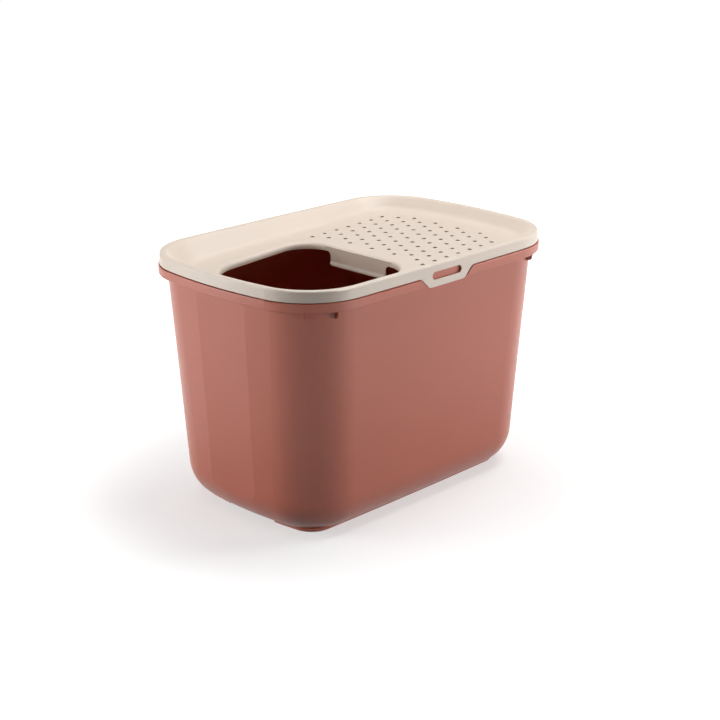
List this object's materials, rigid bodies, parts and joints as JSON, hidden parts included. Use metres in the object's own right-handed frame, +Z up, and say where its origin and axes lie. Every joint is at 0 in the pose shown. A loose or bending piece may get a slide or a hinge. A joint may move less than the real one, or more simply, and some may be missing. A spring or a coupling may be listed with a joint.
{
  "type": "cat litter box",
  "caption": "Top-entry cat litter box: deep tapered tub with a dished, perforated lid that has an entry hole and latches with side tabs.",
  "frame": {"origin": "centre of the footprint, on the floor", "axes": "+X along the length, from the entry hole to the drain holes; +Y across, away from the front latch; +Z up"},
  "size_m": [0.585, 0.3898, 0.395],
  "materials": {
    "tub_plastic": "satin moulded polypropylene, terracotta",
    "lid_plastic": "satin moulded polypropylene, cream"
  },
  "bodies": {
    "tub_body": {"tub": "tub_plastic"},
    "rear_latch": {"rear_latch_tab": "lid_plastic"},
    "lid_shell": {"lid": "lid_plastic"},
    "front_latch": {"front_latch_tab": "lid_plastic"}
  },
  "joints": [
    {"name": "lid_lift", "type": "slide", "parent": "tub_body", "child": "rear_latch", "axis": [0, 0, 1], "range_m": [0, 0.3]},
    {"name": "lid_swing", "type": "hinge", "parent": "rear_latch", "child": "lid_shell", "pos_m": [0, 0.1935, 0.3784], "axis": [-1, 0, 0], "range_deg": [0, 90]},
    {"name": "front_latch_flex", "type": "hinge", "parent": "lid_shell", "child": "front_latch", "pos_m": [0, -0.1935, 0.3784], "axis": [-1, 0, 0], "range_deg": [0, 12], "stiffness_Nm_per_rad": 0.3}
  ]
}
